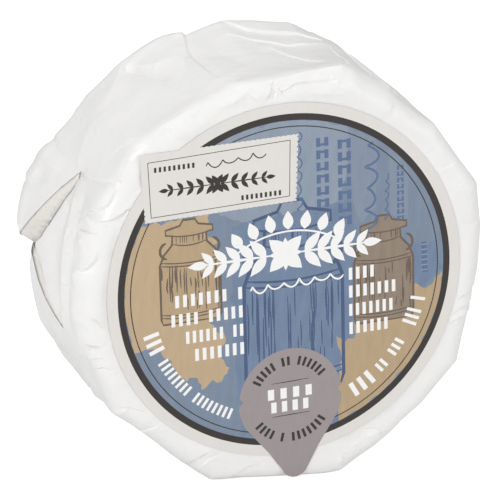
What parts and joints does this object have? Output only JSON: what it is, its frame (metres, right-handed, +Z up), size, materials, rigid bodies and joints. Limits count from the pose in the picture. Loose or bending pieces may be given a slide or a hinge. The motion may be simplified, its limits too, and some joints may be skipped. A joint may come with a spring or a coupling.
{
  "type": "cheese wheel",
  "caption": "Small soft-ripened cheese wheel wrapped in folded white paper, with a round die-cut front label and a round closing label, standing on a flat fold of its rim.",
  "frame": {"origin": "middle of the base of the object's box, on the surface that the wheel stands on", "axes": "+Z up, the wheel's axis along Y, with the front label facing -Y"},
  "size_m": [0.0824, 0.0296, 0.0816],
  "materials": {
    "rind": "matte",
    "wrapping_paper": "satin",
    "printed_label": "satin",
    "closing_label": "satin"
  },
  "bodies": {
    "root": {"cheese": "rind", "wrapper": "wrapping_paper", "front_label": "printed_label", "back_label": "closing_label"}
  },
  "joints": []
}
